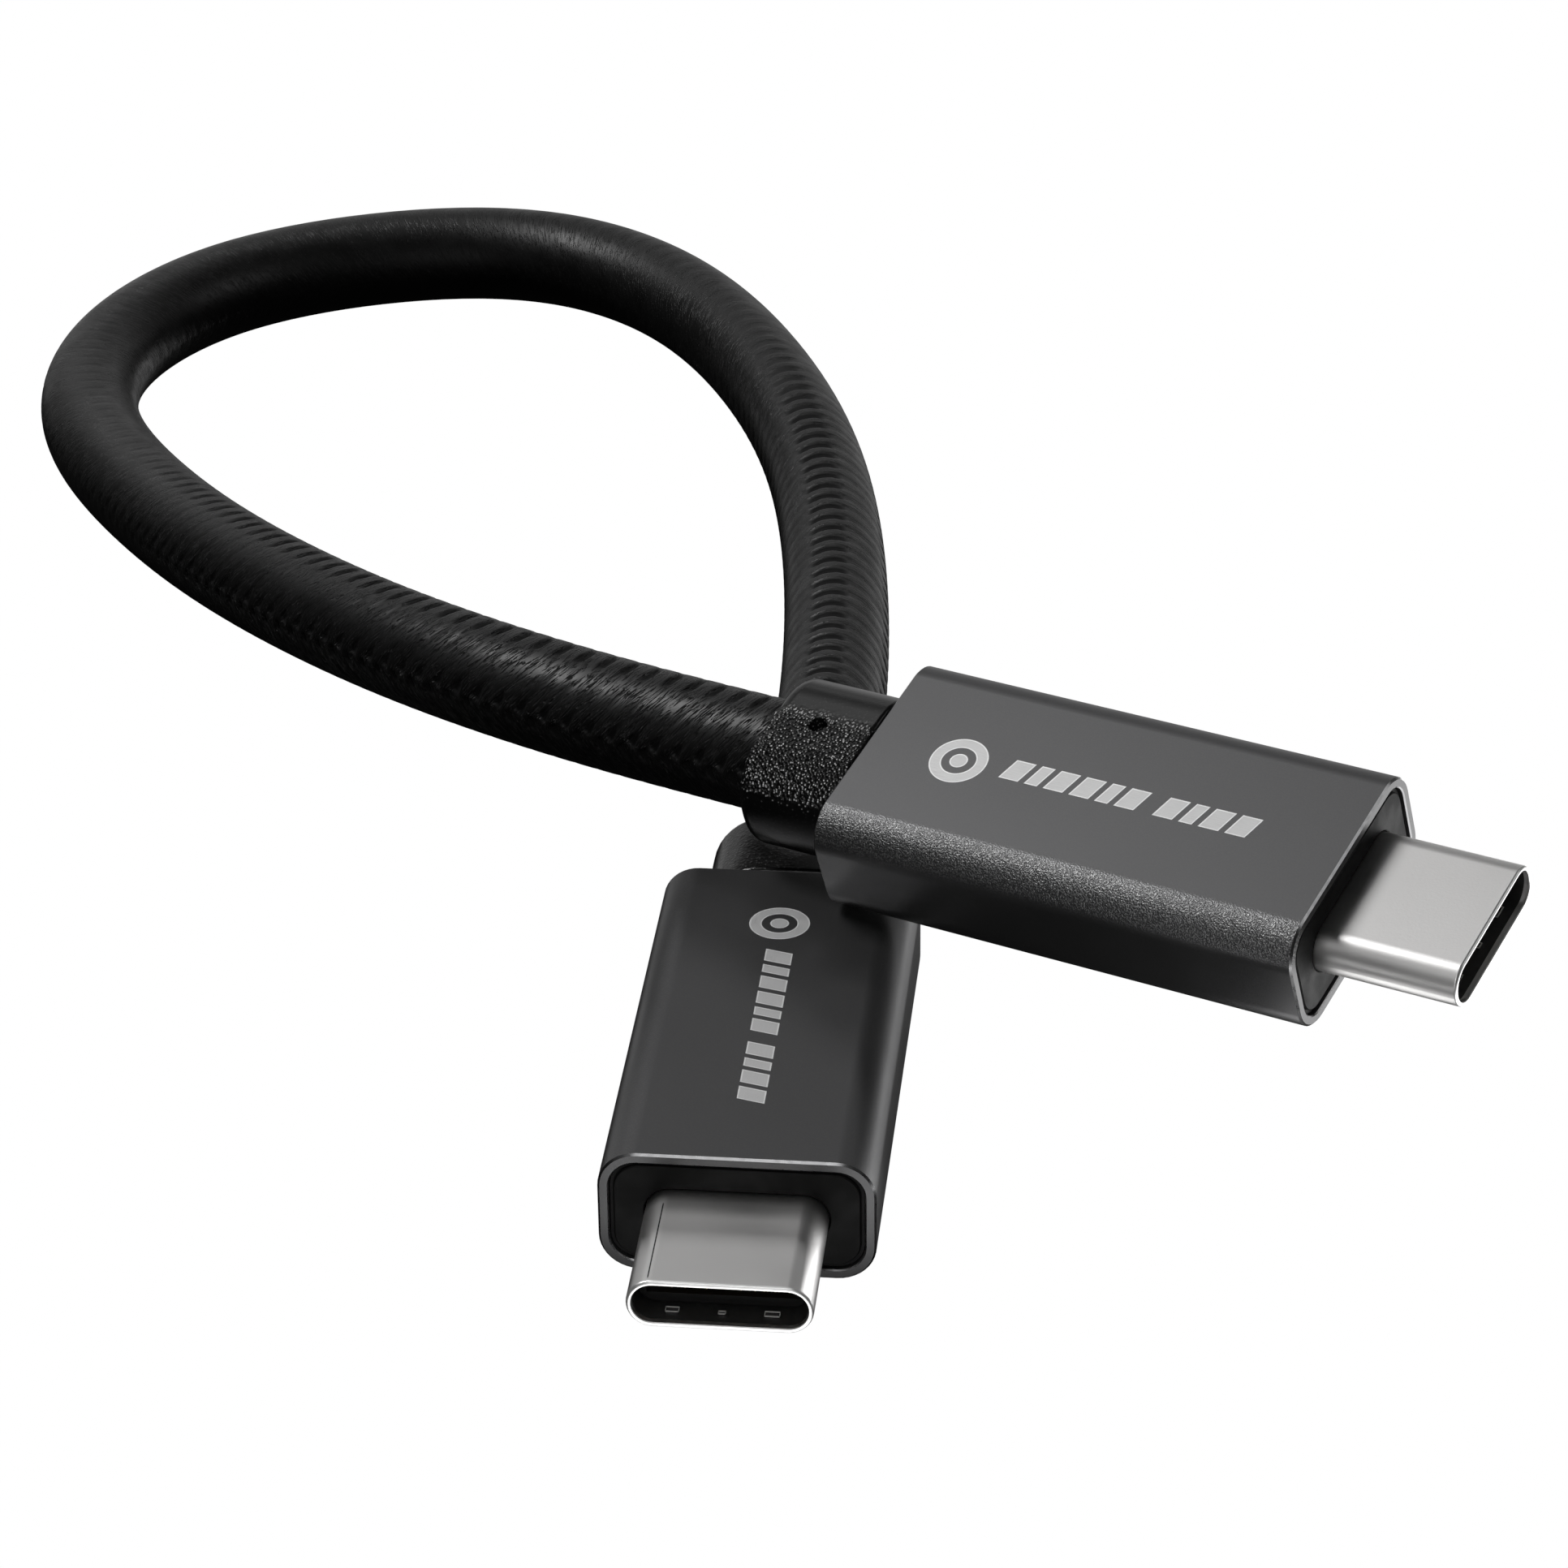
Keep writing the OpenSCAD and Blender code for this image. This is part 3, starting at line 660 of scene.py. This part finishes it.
def rubber_finish(name, depth):
    finish = new_finish(name, (0.01, 0.01, 0.01), 0.28)
    object_place = own_place(finish)
    pebbles = add(finish, "TexVoronoi", {"Vector": object_place, "Scale": 5200.0})
    split = add(finish, "SeparateXYZ", {"Vector": object_place}).node.outputs
    # The mould is polished on the far edge and on the sides, so the grain and its painted glints fade
    # out there
    grained_and_glinting = times(
        finish,
        ranged(finish, split["Y"], -0.3 * MM, 1.2 * MM, depth, 0.02),
        ranged(finish, split["Z"], 1.3 * MM, 2.0 * MM, 0.02, 1.0),
    )
    grain = add(finish, "Bump", {"Height": pebbles, "Strength": grained_and_glinting, "Distance": 0.13 * MM})
    grain.node.invert = True
    # The tops of the grain are painted white as glints: a painted highlight
    painted_pebble_glints = times(finish, ranged(finish, pebbles, 0.1, 0.3, 1.0, 0.0), grained_and_glinting)
    shade = add(finish, "MixRGB", {0: painted_pebble_glints, 1: (0.005, 0.005, 0.005, 1), 2: (1, 1, 1, 1)})
    feed(finish, Normal=grain, Base_Color=shade)
    return finish


def drilled(mesh, x, depth, diameter):
    """The same mesh with a blind round hole in its top."""
    cutter_mesh = bpy.data.meshes.new("mould pin")
    sides = 40
    low_z, high_z = collar_h / 2 - depth, collar_h / 2 + 1 * MM
    turns = [2 * math.pi * k / sides for k in range(sides)]
    verts = []
    for z in (low_z, high_z):
        verts.extend((x + diameter / 2 * math.cos(a), diameter / 2 * math.sin(a), z) for a in turns)
    walls = [(k, (k + 1) % sides, sides + (k + 1) % sides, sides + k) for k in range(sides)]
    caps = [tuple(reversed(range(sides))), tuple(range(sides, 2 * sides))]
    cutter_mesh.from_pydata(verts, [], walls + caps)
    cutter = bpy.data.objects.new("mould pin", cutter_mesh)
    blank = bpy.data.objects.new("blank", mesh)
    for piece in (cutter, blank):
        bpy.context.scene.collection.objects.link(piece)
    cut = blank.modifiers.new("hole", "BOOLEAN")
    cut.object = cutter
    cut.solver = "EXACT"
    cut_blank = blank.evaluated_get(bpy.context.evaluated_depsgraph_get())
    result = bpy.data.meshes.new_from_object(cut_blank)
    for piece in (cutter, blank):
        bpy.data.objects.remove(piece)
    crisp(result)
    return result


pin_back, pin_depth, pin_d = 2.9 * MM, 0.5 * MM, 0.95 * MM
for end, plug, depth in (("a", plug_a, 1.0), ("b", plug_b, 0.1)):
    name = "collar_" + end
    rubber = rubber_finish("grained rubber " + end, depth)
    mesh = drilled(loft(name, collar_rings()), -housing_l - pin_back, pin_depth, pin_d)
    collar = stand(name, mesh, rubber, plug)
    even_normals(collar)
    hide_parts("strain_relief_" + end)


# Grounding springs: thin bent strips of bright steel just inside each mouth, above and
# below the contacts. Three fingers of each touch the mating shell.
def spring_mesh(name):
    plate_z = shell_h / 2 - shell_wall - 0.03 * MM
    strip_t = 0.04 * MM
    bar = 0.055 * MM
    far = 6.2 * MM
    # Each finger's middle, width and length
    fingers = ((-2.2, 0.62, 0.4), (0, 0.36, 0.26), (2.2, 0.7, 0.4))
    sides = ((0, 1, 3, 2), (4, 6, 7, 5), (0, 4, 5, 1), (2, 3, 7, 6), (0, 2, 6, 4), (1, 5, 7, 3))
    verts, faces = [], []

    def block(low_x, high_x, low_y, high_y, low_z, high_z):
        start = len(verts)
        for x in (low_x, high_x):
            for y in (low_y, high_y):
                for z in (low_z, high_z):
                    verts.append((x, y, z))
        for corners in sides:
            faces.append(tuple(start + c for c in corners))

    for low_z in (-plate_z, plate_z - strip_t):
        for mid_y, width, length in fingers:
            near = far - length * MM
            left, right = (mid_y - width / 2) * MM, (mid_y + width / 2) * MM
            block(near, near + bar, left, right, low_z, low_z + strip_t)
            block(far - bar, far, left, right, low_z, low_z + strip_t)
            block(near, far, left, left + 0.6 * bar, low_z, low_z + strip_t)
            block(near, far, right - 0.6 * bar, right, low_z, low_z + strip_t)
    mesh = bpy.data.meshes.new(name)
    mesh.from_pydata(verts, [], faces)
    crisp(mesh)
    return mesh


def bright_finish(name, colour, roughness, streak, metallic=1.0):
    finish = new_finish(name, colour, roughness, metallic)
    streaks = scaled(finish, own_place(finish), streak, 900, 900)
    rolled = add(finish, "TexNoise", {"Vector": streaks, "Scale": 1.0})
    low, high = roughness - 0.08, roughness + 0.08
    feed(finish, Roughness=ranged(finish, rolled, 0.3, 0.7, low, high))
    return finish


spring_steel = bright_finish("spring steel", (0.95, 0.94, 0.92), 0.5, 9000, metallic=0.4)
for end, plug in (("a", plug_a), ("b", plug_b)):
    name = "ground_springs_" + end
    springs = stand(name + "_bent", spring_mesh("springs_" + end), spring_steel, plug)
    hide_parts(name)


# Inside each plug: a black contact block with two rows of gilt contacts and two side
# latches, a green board in a folded steel can, and the crimp ring on the braid behind it.
def dress(finish, *nodes):
    """Gives pieces kept as they were drawn their finish."""
    for node in nodes:
        drawn = bpy.data.objects[node].data.materials
        drawn.clear()
        drawn.append(finish)


def mottled_finish(name, dark, light, roughness, metallic, size):
    """A finish whose colour wanders between two tones in patches of one size."""
    finish = new_finish(name, light, roughness, metallic)
    object_place = own_place(finish)
    patches = add(finish, "TexNoise", {"Vector": object_place, "Scale": 1 / size, "Detail": 4.0})
    share = ranged(finish, patches, 0.3, 0.7, 0.0, 1.0)
    mixed = add(finish, "MixRGB", {0: share, 1: (*dark, 1), 2: (*light, 1)})
    grain = add(finish, "Bump", {"Height": patches, "Strength": 0.2, "Distance": size / 20})
    feed(finish, Base_Color=mixed, Normal=grain)
    return finish


liquid_crystal = mottled_finish(
    "contact moulding", (0.002, 0.002, 0.002), (0.005, 0.005, 0.005), 0.6, 0, 0.2 * MM
)
gilt = bright_finish("gilt contacts", (0.86, 0.6, 0.24), 0.24, 7000)
board_green = mottled_finish(
    "board lacquer", (0.008, 0.07, 0.035), (0.015, 0.12, 0.06), 0.35, 0, 0.3 * MM
)
chip_black = mottled_finish(
    "chip epoxy", (0.012, 0.012, 0.013), (0.025, 0.025, 0.026), 0.55, 0, 0.08 * MM
)
ceramic = mottled_finish(
    "capacitor ceramic", (0.3, 0.22, 0.15), (0.42, 0.32, 0.22), 0.45, 0, 0.1 * MM
)
can_steel = bright_finish("tinned can", (0.55, 0.55, 0.54), 0.38, 4000)
dress(liquid_crystal, "contact_block_a", "contact_block_b")
dress(gilt, "upper_contacts_a", "upper_contacts_b", "lower_contacts_a", "lower_contacts_b")
dress(spring_steel, "latch_left_a", "latch_left_b", "latch_right_a", "latch_right_b")
dress(board_green, "paddle_board_a", "paddle_board_b")
dress(chip_black, "marker_chip_b")
dress(ceramic, "board_parts_a", "board_parts_b")
for end in ("a", "b"):
    dress(can_steel, "shield_can_upper_" + end, "shield_can_lower_" + end, "crimp_ring_" + end)


# Inside the cord: a soft jacket, a tinned copper braid, a strength strand and five wires,
# each in its own colour of insulation.
jacket_vinyl = mottled_finish(
    "jacket vinyl", (0.012, 0.012, 0.012), (0.022, 0.022, 0.022), 0.5, 0, 0.6 * MM
)
copper = mottled_finish(
    "tinned copper braid", (0.45, 0.24, 0.13), (0.72, 0.46, 0.3), 0.35, 1, 0.15 * MM
)
aramid = mottled_finish(
    "aramid strand", (0.5, 0.36, 0.08), (0.72, 0.55, 0.16), 0.6, 0, 0.2 * MM
)
dress(jacket_vinyl, "cord_jacket")
dress(copper, "shield_braid")
dress(aramid, "strength_strand")
insulation = {
    "vbus_wire": (0.5, 0.02, 0.015),
    "ground_wire": (0.015, 0.015, 0.015),
    "cc_wire": (0.02, 0.08, 0.5),
    "data_plus_wire": (0.03, 0.3, 0.06),
    "data_minus_wire": (0.7, 0.7, 0.68),
}
for wire, colour in insulation.items():
    dark = tuple(0.8 * c for c in colour)
    dress(mottled_finish(wire + " insulation", dark, colour, 0.4, 0, 0.4 * MM), wire)


# Table and lights: a plain white sheet that throws no light back on the object, softboxes
# above, behind and at the right, and small white cards close to the plugs.
def sheet_finish():
    finish = bpy.data.materials.new("white sheet")
    finish.use_nodes = True
    tree = finish.node_tree
    tree.nodes.clear()
    glow = tree.nodes.new("ShaderNodeEmission")
    glow.inputs["Strength"].default_value = 1.0
    out = tree.nodes.new("ShaderNodeOutputMaterial")
    tree.links.new(glow.outputs[0], out.inputs[0])
    return finish


reach = 3
sheet_mesh = bpy.data.meshes.new("table")
sheet_corners = [(-reach, -reach, 0), (reach, -reach, 0), (reach, reach, 0), (-reach, reach, 0)]
sheet_mesh.from_pydata(sheet_corners, [], [(0, 1, 2, 3)])
table = bpy.data.objects.new("table", sheet_mesh)
table.location.z = -0.05 * MM
table.data.materials.append(sheet_finish())
bpy.context.scene.collection.objects.link(table)
table.visible_glossy = False
table.visible_diffuse = False
table.visible_shadow = False

object_middle = Vector((-0.005, 0.03, 0.005))


def panel(name, width, height, radiance, place, turned):
    lamp = bpy.data.lights.new(name, "AREA")
    lamp.shape = "RECTANGLE"
    lamp.size = width
    lamp.size_y = height
    lamp.energy = radiance * math.pi * width * height
    box = bpy.data.objects.new(name, lamp)
    box.matrix_world = Matrix.Translation(place) @ turned
    bpy.context.scene.collection.objects.link(box)
    return box


def softbox(name, direction, distance, width, height, radiance):
    """An evenly lit panel facing the object, as bright as its radiance."""
    toward = Vector(direction).normalized()
    turned = toward.to_track_quat("Z", "Y").to_matrix().to_4x4()
    return panel(name, width, height, radiance, object_middle + distance * toward, turned)


softbox("key", (-0.53, 0.14, 0.84), 0.6, 0.2, 0.2, 13.0)
softbox("top", (-0.22, 0.5, 0.84), 0.6, 0.3, 0.2, 0.86)
softbox("back wall", (-0.1, 0.87, 0.49), 0.8, 0.9, 0.12, 0.76)
softbox("low back wall", (0, 1, 0.0), 0.8, 1.3, 0.52, 0.5)
softbox("low right", (0.42, 0.865, -0.36), 0.8, 0.35, 0.24, 0.6)
softbox("right", (0.86, 0.08, 0.5), 0.6, 0.25, 0.25, 1.2)


def card(name, middle, width, length, radiance, facing):
    """A small white card close to the object."""
    turned = Vector(facing).to_track_quat("-Z", "Y").to_matrix().to_4x4()
    held = panel(name, width * MM, length * MM, radiance, Vector(middle) * MM, turned)
    held.visible_camera = False


# Three cards lie under the sheet, and three stand round plug B's mouth
card("under plug A", (23.5, -4, -3), 9, 8, 2.4, (0, 0, 1))
card("before plug B", (0, -33, -3), 16, 26, 1.9, (0, 0, 1))
card("right of plug A", (80, 30, -3), 90, 110, 2.0, (0, 0, 1))
card("beside plug B", (13, -9.5, 5.5), 6, 8, 2.2, (-0.494, -0.865, -0.09))
card("over plug B", (-5, -52, 52), 26, 40, 2.0, (0.1, 0.6, -0.75))
card("low before plug B", (-5, -84, 16), 24, 22, 2.2, (0.1, 0.95, -0.2))

world = bpy.data.worlds.new("dark room")
world.use_nodes = True
world.node_tree.nodes["Background"].inputs["Color"].default_value = (1, 1, 1, 1)
world.node_tree.nodes["Background"].inputs["Strength"].default_value = 0.006
bpy.context.scene.world = world
bpy.context.scene.view_settings.view_transform = "Standard"
bpy.context.scene.view_settings.look = "None"
